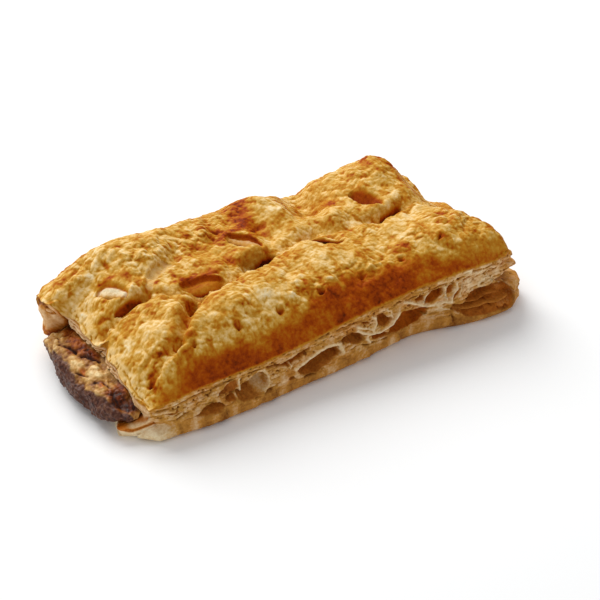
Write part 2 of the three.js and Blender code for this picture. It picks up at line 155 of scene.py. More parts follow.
FRONT_SEAMS = [  # depth, half width, then x and height along it
    (0.9, 0.3, [(-70, 10.9), (-66, 11.4), (-58, 12.9), (-50, 13.7), (-42, 14.1), (-34, 14.4), (-30, 14.2)]),
    (0.5, 0.25, [(-62.2, 7.3), (-58.1, 8.3), (-55.1, 8.7)]),
    (1.2, 0.35, [(-46.5, 9.8), (-44, 9.4), (-41.1, 9.1), (-39.5, 9.3)]),
    (1.3, 0.4, [(-39.2, 5), (-35.1, 4.8), (-30.9, 5.3), (-27.7, 6.1), (-25.5, 6.8), (-23.4, 6.9),
        (-20.9, 6)]),
    (1.2, 0.35, [(-16.8, 5.4), (-13.2, 5), (-10.1, 4.7), (-8.1, 4.7), (-5.8, 5.4), (-5, 6)]),
    (0.8, 0.4, [(-9, 17.6), (-6, 18), (-3, 18.3), (2, 18.3), (6, 18.5), (10, 18.2), (12, 17.2)]),
    (1, 0.35, [(5.3, 7.9), (8.3, 8.8), (10.6, 7.6), (12.5, 7), (12.6, 5.3)]),
    (0.9, 0.35, [(13.3, 7.3), (16.1, 6.6), (19.5, 6.3), (22.3, 5.6)]),
    (0.9, 0.35, [(22, 20.4), (30, 20.1), (38, 20.6), (46, 21.1), (50, 20.8), (58, 21.4), (66, 21.6)]),
    (1.4, 0.35, [(47.3, 7.6), (47.4, 4.8), (47.9, 1.5)]),
    (1, 0.3, [(66.1, 3.3), (68.1, 2.6), (70.1, 2.9)]),
    (0.8, 0.35, [(62.1, 6.9), (63, 5.6), (63.9, 4.8)]),
]
FRONT_THREADS = [  # rise, half width, then x and height along it
    (0.7, 0.45, [(-38.7, 9.4), (-38.8, 11), (-38.4, 13.6)]),
    (0.3, 0.35, [(-31, 13.3), (-29, 13), (-27.9, 11.5), (-27.3, 9.1), (-28, 7.3), (-29.8, 6.1)]),
    (0.6, 0.3, [(-19.2, 12), (-18.4, 11), (-18.6, 10)]),
    (0.8, 0.7, [(-17.1, 9), (-13, 10.6), (-9, 12), (-5, 13.2), (-2, 13.4), (0.6, 12.4), (1.5, 10),
        (2.1, 8.4)]),
    (1.2, 0.6, [(7.6, 15.4), (10, 13.6), (12, 12.2), (14.1, 11.6), (17.4, 10.9), (20.3, 11.6), (22, 12.9),
        (23.6, 15), (24.6, 16.6)]),
    (0.9, 0.4, [(8, 16.4), (11, 14.8), (13.6, 13.6), (14.7, 11.9)]),
    (0.9, 0.45, [(12.1, 11.9), (11.9, 10.2), (12.9, 8.1)]),
    (0.8, 0.4, [(13.6, 18.6), (15.4, 17.2), (15.4, 15), (14.4, 13.2)]),
    (0.6, 0.35, [(20, 19), (21.4, 17.6), (22, 15.4)]),
    (1.1, 0.5, [(26.6, 20), (29, 18.6), (31, 17.6), (33.6, 16), (36, 14.8), (39, 14), (43, 13.8),
        (46.6, 12.7)]),
    (0.9, 0.4, [(34.4, 16.6), (35.4, 18), (36.6, 19.8)]),
    (0.9, 0.4, [(43.4, 20), (44, 18), (43.6, 16), (44.6, 14.2)]),
    (0.9, 0.45, [(48.8, 19.6), (48.8, 17.4), (47.4, 15.2), (46.3, 13)]),
    (0.7, 0.4, [(51, 18), (50.4, 15.6), (50, 13.5)]),
    (0.8, 0.4, [(40, 14), (43.1, 10.6), (46.1, 9.1)]),
    (0.5, 0.3, [(61.4, 18.4), (63, 16), (64, 14.4)]),
    (-2, 0.5, [(49, 8), (52, 6.6), (57, 6), (62, 6.4), (66, 5.2), (71, 6)]),
    (-2.6, 0.4, [(50.5, 9.6), (54, 8.4), (58, 8.2), (62, 9.4), (67, 8.8)]),
]
BUBBLE_WALL = (-30.6, 8.6, 2.6, 3)  # x, height and half sizes of the open bubble's pale wall
FOLD_END_START = 19.5  # y from which the left side is the end of the rolled fold
# The first row is a painted shadow under the crust's rim, and the darkest rows are thin seams darkened as
# painted shade.
FOLD_END_SEAMS = [  # depth, half width, lightness, warmth, then y and height along it
    (1, 1.5, 0.26, 0.5, [(34, 15.5), (30, 18.4), (24.5, 21)]),
    (1.2, 0.45, 0.2, 0.8, [(34.4, 14), (33.4, 9), (32, 4)]),
    (0.9, 0.35, 0.2, 0.8, [(22.6, 18.6), (23.6, 19.6), (25, 19.2), (25, 17.6), (23.8, 16.8), (22.7, 17.6),
        (22.6, 18.6)]),
    (0.9, 0.5, 0.2, 0.9, [(20.6, 20.6), (21, 16.6), (21.4, 12)]),
    (0.5, 1.6, 0.5, 0.9, [(24.5, 8.4), (29.5, 7)]),
    (1.2, 1.3, 0.2, 1, [(21, 12), (22.4, 8.6), (26, 6)]),
    (1.4, 0.9, 0.14, 0.9, [(22, 5.6), (27, 4.6), (32, 3.6)]),
]
DOUGH_FAN = (-32, 9.5, 4.5, 3.4)  # y, height and half sizes
LIP_HEIGHT = 5.2  # of the lower sheet's lip at the left end
# Where the flaps of the bottom sheet meet along the front.
FLAP_EDGES = [-72, -45, -25.4, -5.9, 12.6, 26.6, 47.6, 78]

# The sausage meat's main sizes.
MEAT_LEFT, MEAT_RIGHT = -84.0, 69.0
MEAT_MIDDLE, MEAT_HALF_WIDTH, MEAT_HALF_DEPTH, MEAT_HEIGHT = 5.0, 26.0, 6.0, 11.5
TONGUE_START, TONGUE_HALF_WIDTH, TONGUE_MIDDLE = -66.0, 27.0, -3.5
GAP = 0.4  # between the meat and the pastry round it
MEAT_PATCHES = [  # x, y, how much lighter or darker, rise, half length, half width, how rusty
    (-80, 16, 0.1, 0.3, 3.4, 5, 0), (-75, 8, -0.15, 0.5, 2.6, 9, 0.9), (-73.5, 1, -0.2, 0.4, 2, 4, 1),
    (-78.6, 8, -0.2, 0, 1.2, 3, 0.8), (-80, 1, 0.25, 0.5, 2, 3.4, 0), (-79.6, -4.4, 0, -0.3, 1, 2, 1),
    (-77.5, -8, 0.35, 0.7, 2.6, 4, 0), (-79, -17, 0.25, 0.6, 2, 3, 0.1),
    (-78, -14.6, -0.1, 0, 1.2, 1.6, 0.9), (-76.6, -22, -0.34, -0.3, 3, 4.6, 1),
    (-73.6, -27, -0.36, 0, 3, 3, 1), (-78.6, -25.5, -0.3, 0, 2, 3, 0.7),
    (-73, 19, -0.2, 0.2, 2.5, 5, 0.9), (-73, -19.6, -0.16, 0, 2, 3.4, 1),
]
MEAT_CRACKS = [  # depth, half width, then x and y along it
    (1.1, 0.5, [(-79.4, 13.5), (-78, 8), (-77, 3), (-75.4, -0.5), (-73, -3.6)]),
    (0.7, 0.35, [(-78, 18), (-78.4, 14)]),
    (0.7, 0.35, [(-82, -3), (-80.6, -5), (-79.5, -8)]),
    (0.6, 0.35, [(-79.5, -12), (-77, -14.5), (-75.5, -18)]),
]
SCORCH_EDGE = [(-32, -73), (-27, -77), (-22, -79), (-18, -80.2), (-13, -81.6), (-6, -82.6), (3, -81.6),
               (9, -81.4), (15, -82), (22, -83)]  # y, x inside which the meat is not scorched

# How brown parts of the crust are: 0 pale cream, 0.4 golden, 0.7 orange-brown, 1 dark.
# The slash lip value is a painted shadow line along a slash's near lip.
PLAIN_BAKE, SLOPE_BAKE, RIM_BAKE, MOST_BAKE, DENT_BAKE, SLASH_LIP_SHADOW = 0.335, 0.7, 0.55, 0.9, 0.88, 1.0
SCAR_LIGHT = 0.7

# Faces along, across and up.
GRID_STEP = 0.28
PASTRY_GRID = [int(LENGTH / GRID_STEP), int(WIDTH / GRID_STEP), int(22 / (0.6 * GRID_STEP))]
CHANNEL_GRID = [int(LENGTH / 0.8), 96, 20]
MEAT_GRID = [420, 190, 44]


# Small helpers on arrays.

def clip01(t):
    return np.clip(t, 0.0, 1.0)


def lerp(a, b, t):
    return a + (b - a) * t


def rise(t, start, end):
    t = clip01((t - start) / (end - start))
    return t * t * (3 - 2 * t)


def bell(t):
    return np.exp(-t * t)


def off_spot(x, y, px, py, long, wide):
    """Distance from a spot, where 1 is its half length or half width."""
    return np.hypot((x - px) / long, (y - py) / wide)


def soft_spots(x, y, rows):
    """The sum of soft spots, in rows of x, y, amount, half length and half width."""
    return sum(up * bell(off_spot(x, y, px, py, long, wide)) for px, py, up, long, wide in rows)


def blend(base, over, share):
    """Part way from one relief, lightness and warmth to another."""
    return [lerp(a, b, share) for a, b in zip(base, over)]


def shoulder(inset, width, power):
    """The share of its height that a surface has at a distance in from its edge."""
    return 1 - (1 - clip01(inset / width)) ** power


def ripple(a, b, size, phase):
    """A gentle waviness, as the solids have it."""
    p, q = a / size, b / size
    slant = np.sin(2.1 * p + 1.7 * q + phase) + np.sin(-1.3 * p + 2.6 * q + 2.3 * phase)
    return (slant + np.sin(3.3 * p - 0.7 * q + 4.1 * phase)) / 3


def off_segment(x, y, x0, y0, x1, y1):
    """Distance from a segment, above 0 to the left of the way along it and below 0 to the right."""
    dx, dy = x1 - x0, y1 - y0
    t = clip01(((x - x0) * dx + (y - y0) * dy) / (dx * dx + dy * dy))
    side = np.where((y - y0) * dx - (x - x0) * dy >= 0, 1, -1)
    return side * np.hypot(x - x0 - t * dx, y - y0 - t * dy)


def off_line(x, y, line):
    """Distance from a line of segments."""
    return np.min([np.abs(off_segment(x, y, *a, *b)) for a, b in zip(line, line[1:])], axis=0)


# Seeded noise.

RNG = np.random.default_rng(71)
SHUFFLE = RNG.permutation(256)
SLOPES = RNG.normal(size=(256, 3)).astype(np.float32)
SLOPES /= np.linalg.norm(SLOPES, axis=1)[:, None]


def noise(x, y, z, size, seed=0):
    """Smooth noise of about -1 to 1 with lumps of the given size."""
    spot = np.stack(np.broadcast_arrays(x, y, z)).astype(np.float32) / size + 11.3 * seed
    cell = np.floor(spot).astype(np.int32)
    part = spot - cell
    fade = part**3 * (part * (part * 6 - 15) + 10)
    total = 0.0
    for corner in np.ndindex(2, 2, 2):
        i, j, k = (c + o for c, o in zip(cell, corner))
        slope = SLOPES[SHUFFLE[(SHUFFLE[(SHUFFLE[(i + seed) & 255] + j) & 255] + k) & 255]]
        lean = sum(slope[..., a] * (part[a] - corner[a]) for a in range(3))
        share = 1.0
        for a in range(3):
            share *= fade[a] if corner[a] else 1 - fade[a]
        total += share * lean
    return 1.7 * total


def layered_noise(x, y, z, size, seed):
    return sum(noise(x, y, z, size / 2**i, seed + i) / 2**i for i in range(3))


def puffs(x, y, z, size, seed):
    """Rounded bumps that meet in sharp creases, 0 in the creases and about 1 on the bumps."""
    return np.minimum(1.0, 2.2 * np.abs(noise(x, y, z, size, seed)))


def flakes(x, y, z, size, seed):
    """Patches of thin skin that end in sharp edges, 0 or 1."""
    level = noise(x, y, z, size, seed) + 0.25 * noise(x, y, z, size / 3, seed + 1)
    return rise(level, -0.02, 0.03)


# The crust.

def rim_height(x, y):
    along, heights = np.transpose(FRONT_RIM)
    along_front = lerp(np.interp(x, along, heights), BACK_RIM, rise(y, -20, 34))
    at_notch = lerp(CUT_RIM, FOLD_RIM - FOLD_FALL * np.maximum(0, y - 21.5), rise(y, 18, 22))
    rim = lerp(along_front, at_notch, rise(-x, 55, 74) * rise(y, -34, -12))
    right_dips = 4.8 * bell((y - 15) / 8) + 2.5 * rise(y, 26, 34)
    return rim - right_dips * rise(x, 58, 70)


def rolled_fold(y):
    """How far the end of the fold stands out past the rest of the left end."""
    return 6.5 * rise(y, 20, 25)


def crease_depth(x, y):
    """How far the hollows and creases lower the crown."""
    depth = 0.0
    for *ends, down, wide in HOLLOWS:
        depth += down * bell(off_segment(x, y, *ends) / wide)
    for *ends, down, wide in CREASES:
        off = off_segment(x, y, *ends)
        depth += down * bell(off / (wide * np.where(off > 0, 1.2, 0.5)))
    return depth


def crust_height(x, y):
    front = shoulder(y - FRONT_EDGE, lerp(17, 8, rise(x, 20, 70)), 2.3)
    back = np.sqrt(shoulder(BACK_EDGE + 2.5 - y, 9.5, 2))
    left = shoulder(x - LEFT_END + rolled_fold(y), 24, 2)
    backwards = rise(y, -34, 0)
    inset = RIGHT_END - 4 * backwards - x
    right = shoulder(inset, lerp(3.5, 16, backwards), lerp(2.4, 1.8, backwards))
    crown = CROWN + 0.9 * ripple(x, y, 9, 1.3) + 0.5 * ripple(x, y, 4.2, 0.4)
    crown += soft_spots(x, y, HUMPS + BUMPS) - crease_depth(x, y)
    rim = rim_height(x, y)
    return rim + (crown - rim) * front * back * left * right


def slash_frame(x, y, slash):
    """Where a point lies in a slash: along it, and across it from -1 at the near lip to 1."""
    turn = np.radians(slash.turn)
    c, s = np.cos(turn), np.sin(turn)
    along = ((x - slash.x) * c + (y - slash.y) * s) / slash.long
    half = slash.wide * np.maximum(0.02, 1 - along * along) ** 0.7
    wobble = 0.35 * noise(x, y, 0, 3.5, 31) + 0.12 * noise(x, y, 0, 1.2, 32)
    return along, (-(x - slash.x) * s + (y - slash.y) * c + wobble) / half


def slash_relief(x, y):
    """The slashes' depth, bake with painted shade, share of dough and its lightness with painted shade, and
    how much a point is inside one.
    """
    drop, brown, dough, light, inside = (np.zeros_like(x) for _ in range(5))
    for slash in SLASHES:
        along, across = slash_frame(x, y, slash)
        ends = rise(1 - np.abs(along), 0, 0.3)
        far = rise(1.1 - across, 0, slash.wall)
        near = rise(across + 1.05, 0, 0.2)
        lens = (1 - rise(np.abs(across + 0.2), 0.35, 0.75)) * rise(0.92 - np.abs(along), 0, 0.3)
        drop += slash.depth * (far * near * ends - slash.fill * lens)
        here = near * ends * rise(1.15 - across, 0, 0.5 * slash.wall)
        # The far wall and the floor are darker from browning and from painted shade; the near lip gets a
        # painted shadow line.
        shade = lerp(slash.edge, slash.floor, rise(1 - across, 0.05, 0.6))
        shade = lerp(shade, SLASH_LIP_SHADOW, bell((across + 0.9) / 0.16))
        brown = np.where(here > inside, shade, brown)
        # Painted shade: the dough is darker towards the near lip.
        shaded_tint = 0.5 * slash.pale + 0.02 + 0.4 * rise(across, -0.8, 0.1)
        light = np.where(lens * slash.pale > dough, shaded_tint, light)
        dough = np.maximum(dough, lens * slash.pale)
        inside = np.maximum(inside, here)
    return drop, brown, dough, light, inside


def dent_relief(x, y):
    """The row of dents along the front seam: their depth, holes and brown halos."""
    drop, hole, halo = 0.0, 0.0, 0.0
    for i in range(DENT_COUNT):
        away = np.hypot(x - DENT_FIRST[0] - i * DENT_STEP[0], (y - DENT_FIRST[1] - i * DENT_STEP[1]) * 1.2)
        away += 0.6 * noise(x, y, 0, 2.2, 37) + 0.25 * noise(x, y, 0, 0.9, 38)
        drop += 1.2 * bell(away / 0.8) + 0.7 * bell(away / 2.8) - 0.4 * bell((away - 1.9) / 0.6)
        hole = np.maximum(hole, bell(away / 0.7))
        halo = np.maximum(halo, 1.2 * bell(away / 1.9) - 0.6 * bell((away - 2.2) / 0.6))
    return drop, hole, halo


def scar_mask(x, y):
    """Where a flake of the crust has come off and left smooth pale pastry."""
    edge = off_line(x, y, SCAR) + 1.4 * noise(x, y, 0, 4, 34) + 0.8 * noise(x, y, 0, 1.5, 35)
    return 1 - rise(edge, SCAR_HALF_WIDTH - 0.4, SCAR_HALF_WIDTH + 0.4)


# The sides of the pastry. A height share s runs from 0 at the base to 1 at the rim.

def leaf(s, at, thick):
    return bell((s - at) / thick)


def foot(s):
    return FOOT_ROUND * (1 - clip01(s / 0.12)) ** 2


def front_reach(x, s):
    lower = 2.2 * bell((x + 44) / 22) - 3.6 * bell((x - 34) / 20)
    lower += 4 * bell((x - 52) / 17) + 0.8 * bell((x - 66) / 8) + 0.8 * bell((x + 18) / 36)
    return -FRONT_EDGE + lower * (1 - rise(s, 0.3, 0.6)) - 0.5 * leaf(s, 0.8, 0.06) - foot(s)


def end_reach(y, s, side):
    ragged = 0.6 * ripple(y, 40 * s, 5, 3.1 + side)
    gape = 1.8 * leaf(s, 0.5, 0.16) * bell((y - 4) / 34)
    return ragged - gape - foot(s)


def left_reach(y, s):
    notch = 3.2 * bell((y + 3) / 2.6) * rise(s, 0.6, 0.9)
    corner = bell((y + 30) / 7)
    turned_up = 1 - rise(s, lerp(0.12, 0.34, corner), lerp(0.3, 0.5, corner))
    lip = (5.5 + 2.5 * corner) * turned_up * (1 - 0.7 * rise(y, 5, 34))
    return -LEFT_END + rolled_fold(y) * rise(s, 0, 0.3) - notch + lip + end_reach(y, s, 0)


def right_reach(y, s):
    lip = 8 * (1 - rise(s, 0.36, 0.48)) * (1 - 0.6 * rise(y, 0, 34))
    tips = 2.4 * leaf(s, 0.88, 0.05) + 4.8 * leaf(s, 0.7, 0.05) - 3 * leaf(s, 0.53, 0.06)
    return RIGHT_END + lip + tips * bell((y + 37) / 16) + end_reach(y, s, 1)


def back_reach(x, s):
    fold = FOLD_BULGE * np.sqrt(np.maximum(0, 1 - ((s - 0.45) / 0.55) ** 2))
    return BACK_EDGE + fold + 0.5 * ripple(x, 20 * s, 9, 5.2) - foot(s)


def pastry_plan(u, v, s):
    across, along = v * WIDTH / 2, u * LENGTH / 2
    corner = np.maximum(0, np.abs(u) - 0.88) * np.maximum(0, np.abs(v) - 0.76) / (0.12 * 0.24)
    pull = lerp(np.where(u < 0, 5, 3.4), 1.2, s) * corner
    x = lerp(-left_reach(across, s), right_reach(across, s), (u + 1) / 2)
    y = lerp(-front_reach(along, s), back_reach(along, s), (v + 1) / 2)
    return x - pull * np.sign(u), y - pull * np.sign(v)


def pastry_place(u, v, w):
    s = (w + 1) / 2
    x, y = pastry_plan(u, v, s)
    top_x, top_y = pastry_plan(u, v, 1.0)
    return x, y, s * crust_height(top_x, top_y)


def leaf_relief(a, z, seed):
    """How far the leaves of a cut side stand out, and the grooves between them."""
    bend = 0.9 * noise(a, z, 0, 16, seed) + 0.4 * noise(a, z, 0, 4, seed + 1)
    level = (z + bend) / 1.25
    step = np.floor(level)
    part = level - step

    def stand(which):
        return noise(a, 7.7 * which, 0, 6, seed + 2) + 0.6 * noise(a, 7.7 * which, 0, 2, seed + 3)

    out = lerp(stand(step), stand(step + 1), rise(part, 0.8, 1.0))
    groove = bell((part - 0.9) / 0.12) * clip01(0.4 + 1.2 * noise(a, 3.1 * step, 0, 3, seed + 4))
    return 0.55 * out - 0.7 * groove, groove


def pores(a, z, size, seed):
    """Small holes, 0 between them and 1 in them."""
    return rise(noise(a * 0.8, z, 0, size, seed), 0.42, 0.62)


def pocket_depth(x, z, depth, outline):
    """How deep a pocket is, and how much a point is inside it."""
    px, low, high = np.transpose(outline)
    ends = np.minimum(x - px[0], px[-1] - x)
    bottom, top = np.interp(x, px, low), np.interp(x, px, high)
    run = 0.45 * (top - bottom) + 0.3
    floor = shoulder(np.minimum(z - bottom, 1.2 * ends), run, 1.8)
    roof = shoulder(top - z, 0.5, 2)
    inside = rise(np.minimum(np.minimum(z - bottom, top - z), ends), 0, 0.25)
    return depth * floor * roof * (ends > 0), inside


def flap_relief(x, z):
    """The bottom sheet's flaps, each of which stands out towards its right end."""
    out = 0.35 * noise(x, 0.3 * z, 0, 4, 62) + 0.12 * noise(x, 0.2 * z, 0, 1.3, 63)
    warp = 0.5 * noise(x, z, 0, 5, 64) - 0.12 * (z - 3) ** 2
    for start, end in zip(FLAP_EDGES, FLAP_EDGES[1:]):
        share = (x - warp - start) / (end - start)
        out += 1.1 * share**3 * (share > 0) * (share <= 1) * rise(z, 1, 3)
    return out


def front_leaves(x, z, s):
    """The relief, lightness and warmth of the front side's cut leaves and bottom sheet."""
    sheet = 1 - rise(z + 0.8 * noise(x, 0, 0, 9, 47), 4.6, 6.6)
    out, groove = leaf_relief(x, z, 21)
    holes = pores(x, z, 0.9, 48) * (1 - sheet) * rise(s, 0.45, 0.6)
    out = lerp(out - 0.5 * holes, flap_relief(x, z), sheet)
    # Painted shade: the leaves are darker in their grooves and pores.
    light = 0.64 + 0.2 * layered_noise(x, 1.6 * z, 0, 4, 50) - (0.16 * groove + 0.35 * holes) * (1 - sheet)
    warm = 0.28 + 0.3 * noise(x, z, 0, 7, 54)
    light += 0.15 * bell((x - 58) / 14) * rise(z, 12, 15)
    corner = rise(-x, 57, 68)
    dough = 0.54 + 0.22 * layered_noise(x, 0.4 * z, 0, 5, 56) + 0.28 * corner
    return out, lerp(light, dough, sheet), lerp(warm, 0.3 * (1 - corner), sheet)


def front_pockets(x, z, warm):
    """The pockets' depth, how much a point is inside one, and the warmth with theirs."""
    deep, hollow = np.zeros_like(x), np.zeros_like(x)
    for depth, warmth, outline in FRONT_POCKETS:
        bowl, inside = pocket_depth(x, z, depth, outline)
        deep = np.maximum(deep, bowl)
        hollow = np.maximum(hollow, inside)
        warm = lerp(warm, warmth, inside)
    return deep, hollow, warm


def front_details(x, z, s):
    """The front side's relief, lightness and warmth."""
    wx = x + 0.35 * noise(x, z, 0, 2.2, 43) + 0.15 * noise(x, z, 0, 0.8, 45)
    wz = z + 0.25 * noise(x, z, 5, 2.2, 44) + 0.12 * noise(x, z, 5, 0.8, 46)
    out, light, warm = front_leaves(x, z, s)
    deep, hollow, warm = front_pockets(wx, wz, warm)
    out = lerp(out, 0.25 * noise(x, z, 0, 3, 60), hollow) - deep
    # Painted shade: the leaves are darker inside the pockets, less so towards the right end.
    light = lerp(light, 0.46 + 0.12 * rise(x, 60, 70) + 0.12 * noise(x, z, 0, 3, 61), hollow)
    for depth, wide, line in FRONT_SEAMS:
        seam = bell(off_line(wx, wz, line) / wide) * rise(noise(x, z, 0, 3.4, 65), -0.5, 0.1)
        out -= depth * seam
        # Painted shade: the seams are darker.
        light -= 0.3 * seam
    for up, wide, line in FRONT_THREADS:
        thread = bell(off_line(wx, wz, line) / wide)
        out = lerp(out, up - 0.3, clip01(1.3 * thread))
        # The strands are pale; their lightness also follows how far they stand out, painted light on raised
        # ones and painted shade on sunk ones.
        light = lerp(light, 0.75 + 0.1 * up, clip01(1.2 * thread))
        warm = lerp(warm, 0.1 - 0.25 * min(up, 0), thread)
    pale = bell(off_spot(x, z, *BUBBLE_WALL) ** 2)
    return blend((out, light, warm), (out, 0.72, 0), pale)


def left_edge(y, z, below, crumb):
    """The left side's porous edge below the rim, and the dark hollow below it."""
    depth = below + 0.7 * noise(y, 0, 0, 6, 93) + 0.3 * noise(y, 0, 0, 2, 94)
    lines = bell((depth - 1.5) / 0.25) + bell((depth - 2.7) / 0.25)
    lines *= rise(noise(y, 0, 0, 6, 88), -0.5, 0)
    holes = pores(y, z, 0.8, 86)
    hollow = (-1.6 + 0.5 * crumb, 0.34 + 0.2 * crumb, 0.9)
    # Painted shade: the edge is darker in its pores and lines.
    edge = (0.3 * crumb - 0.6 * holes - 0.5 * lines, 0.94 + 0.12 * crumb - 0.5 * holes - 0.35 * lines, 0.4)
    return blend(hollow, edge, 1 - rise(depth, 4.2, 4.8))


def add_fold_end(look, y, z, crumb):
    """The end of the rolled fold with its turns and seams, and how much a point is on it."""
    wy = y + 0.4 * noise(y, z, 0, 2.4, 91)
    wz = z + 0.3 * noise(y, z, 5, 2.4, 92)
    fold = rise(wy, FOLD_END_START, FOLD_END_START + 1.5)
    turns = np.sin(2.4 * np.hypot(wy - 28, 0.8 * (wz - 12)) + 2 * noise(y, z, 0, 5, 89))
    look = blend(look, (0.3 * crumb + 0.2 * turns, 0.8 + 0.12 * crumb + 0.08 * turns, 0.45), fold)
    for depth, wide, dark, warmth, line in FOLD_END_SEAMS:
        seam = bell(off_line(wy, wz, line) / wide) * fold
        # The seams carry painted shadow and painted shade as well as the fold's colours.
        look = blend(look, (look[0] - depth, dark, warmth), seam)
    return look, fold


def add_dough_fan(look, y, z):
    """The dough that fans out at the front corner."""
    fan = bell(off_spot(y, z, *DOUGH_FAN) ** 2)
    rays = np.sin(7 * np.arctan2(z - 4, y + 38) + 2.5 * noise(y, z, 0, 3, 95))
    return blend(look, (0.4 + 0.45 * rays, 0.78 + 0.14 * rays, look[2]), fan)


def add_lip(look, x, y, z, crumb, fold):
    """The lower sheet's lip, orange where it stands out most, the shelf above it and the base below."""
    above = z - LIP_HEIGHT - 5.6 * rise(-y, 31, 37)
    lip = bell(above / 0.9) * bell(np.maximum(0, y + 19) / 3)
    shelf = bell((above - 3) / 1.4) * bell(np.maximum(0, y + 22) / 3)
    tip = clip01(1.2 * lip)
    out = look[0] + 2 * lip
    look = blend(look, (out, 0.85, 0.3), np.maximum(shelf, tip))
    look = blend(look, (out, 0.5 + 0.2 * crumb, 1), tip * rise(LEFT_END - x, 2.6, 4.6))
    _, light, warm = blend(look, (out, 0.94, 0.15), (1 - rise(above, -2.4, -1.2)) * (1 - fold))
    return out, light, warm


def left_details(x, y, z, below):
    """The left side's relief, lightness and warmth, by how far a point is below the rim."""
    crumb = layered_noise(y, z, 0, 2.4, 87)
    look = left_edge(y, z, below, crumb)
    look, fold = add_fold_end(look, y, z, crumb)
    look = add_dough_fan(look, y, z)
    return add_lip(look, x, y, z, crumb, fold)


def right_details(x, y, z):
    """The right side's relief, lightness and warmth."""
    out, groove = leaf_relief(-y, z, 81)
    upright = 1 - rise(x - RIGHT_END, 1, 2.5) * rise(z, 3, 5)
    holes = pores(y, z + 0.7 * x, 0.9, 86)
    # Painted shade: darker in the grooves and pores.
    light = 0.6 + 0.2 * layered_noise(y, 1.6 * z, x, 4, 87) - 0.25 * groove * upright - 0.3 * holes
    warm = 0.3 + 0.3 * noise(y, z, 0, 7, 90)
    out = out * lerp(0.3, 1, upright) - 0.5 * holes
    # Toasted orange inside the pocket at the front corner, darkened further as painted shade.
    toasted_and_shaded = bell((z - 6) / 3) * rise(-y, 28, 33)
    return blend((out, light, warm), (out, 0.42, 0.9), toasted_and_shaded)


def back_details(x, y, z, s):
    """The wrinkled relief of the folded back edge, and its bake."""
    wrinkles = puffs(0.35 * x, y, z, 3.2, 62) - 0.6
    relief = crust_relief(x, y, z, 0) + 0.5 * wrinkles
    bake = 0.28 + 0.22 * layered_noise(0.6 * x, y, z, 8, 61) - 0.1 * wrinkles
    return relief * rise(s, 0, 0.15), bake + 0.08 * rise(s, 0.3, 0.8) + 0.16 * rise(s, 0, 0.3)


# The sausage meat.

def meat_place(u, v, w, spare):
    roundness = np.sqrt(np.maximum(0, 1 - 0.42 * v * v * w * w))
    x0 = MEAT_LEFT + np.where(v < 0, 7, 3.4) * v**4 - 1.2 * ripple(v * 20, 0, 6, 0.7)
    x = lerp(x0 - spare, MEAT_RIGHT + spare, (u + 1) / 2)
    tongue = 1 - rise(x, TONGUE_START - 8, TONGUE_START + 4)
    tip = 1 - clip01((TONGUE_START - 8 - x) / (TONGUE_START - 8 - MEAT_LEFT)) ** 3
    half_width = lerp(MEAT_HALF_WIDTH, TONGUE_HALF_WIDTH, tongue) * lerp(0.93, 1, tip)
    middle = lerp(MEAT_MIDDLE, TONGUE_MIDDLE, tongue)
    half_depth = lerp(MEAT_HALF_DEPTH, 5, tongue) * lerp(0.5, 1, tip)
    height = lerp(MEAT_HEIGHT, 7.8, tongue) - 1.4 * (1 - tip)
    y = middle + v * (half_width * roundness + spare)
    bumps = tongue * 0.7 * ripple(x, y, 4.4, 1.9)
    bulge = half_depth * lerp(1, roundness, 0.8) * lerp(0.62, 1, 1 - np.abs(v) ** 6)
    sunk = 4.4 * bell((y - 16) / 10) * rise(x, 50, 60)  # under the dip in the crust at the right end
    z = height + w * (bulge + spare) + np.maximum(w, 0) * (bumps - sunk)
    return x, y, z


# Meshes.

FACES = {  # the fixed axis of each side of a block, its value, and the two axes that run over it
    "top": (2, 1, 0, 1),
    "bottom": (2, -1, 1, 0),
    "front": (1, -1, 0, 2),
    "back": (1, 1, 2, 0),
    "left": (0, -1, 2, 1),
    "right": (0, 1, 1, 2),
}


def block_grid(counts, sides):
    """The named sides of a block, -1 to 1 each way: points, quads and the side each point is on."""
    points, quads, names, start = [], [], [], 0
    for name in sides:
        fixed, value, a, b = FACES[name]
        na, nb = counts[a] + 1, counts[b] + 1
        ga, gb = np.meshgrid(np.linspace(-1, 1, na), np.linspace(-1, 1, nb), indexing="ij")
        spots = np.empty((na * nb, 3))
        spots[:, fixed], spots[:, a], spots[:, b] = value, ga.ravel(), gb.ravel()
        index = start + np.arange(na * nb).reshape(na, nb)
        quad = np.stack([index[:-1, :-1], index[1:, :-1], index[1:, 1:], index[:-1, 1:]], axis=-1)
        points.append(spots)
        quads.append(quad.reshape(-1, 4))
        names += [name] * (na * nb)
        start += na * nb
    points, quads, names = np.concatenate(points), np.concatenate(quads), np.array(names)
    key = np.round((points + 1) * 1e5).astype(np.int64)
    _, first, joined = np.unique(key @ [1, 10**6, 10**12], return_index=True, return_inverse=True)
    return points[first], joined.reshape(-1)[quads], names[first]


def base_ring(u, v, w):
    """The face that closes a block with no bottom."""
    ring = np.flatnonzero(w == -1)
    u, v = u[ring], v[ring]
    turn = np.select([v == -1, u == 1, v == 1], [u, v + 2, 4 - u], 6 - v)
    return ring[np.argsort(-turn)].tolist()


def to_frame(spots):
    """Millimetres round the pastry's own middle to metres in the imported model's frame."""
    return (np.asarray(spots, float) - [MIDDLE[0], MIDDLE[1], 0]) / 1000


def place_object(name, data):
    thing = bpy.data.objects.new(name, data)
    bpy.context.scene.collection.objects.link(thing)
    return thing


def make_mesh(name, spots, faces, masks):
    mesh = bpy.data.meshes.new(name)
    mesh.from_pydata(to_frame(spots).tolist(), [], faces)
    for key, values in masks.items():
        layer = mesh.attributes.new(key, "FLOAT", "POINT")
        values = np.broadcast_to(clip01(values), len(spots))
        layer.data.foreach_set("value", values.astype(np.float32))
    mesh.shade_smooth()
    return place_object(name, mesh)


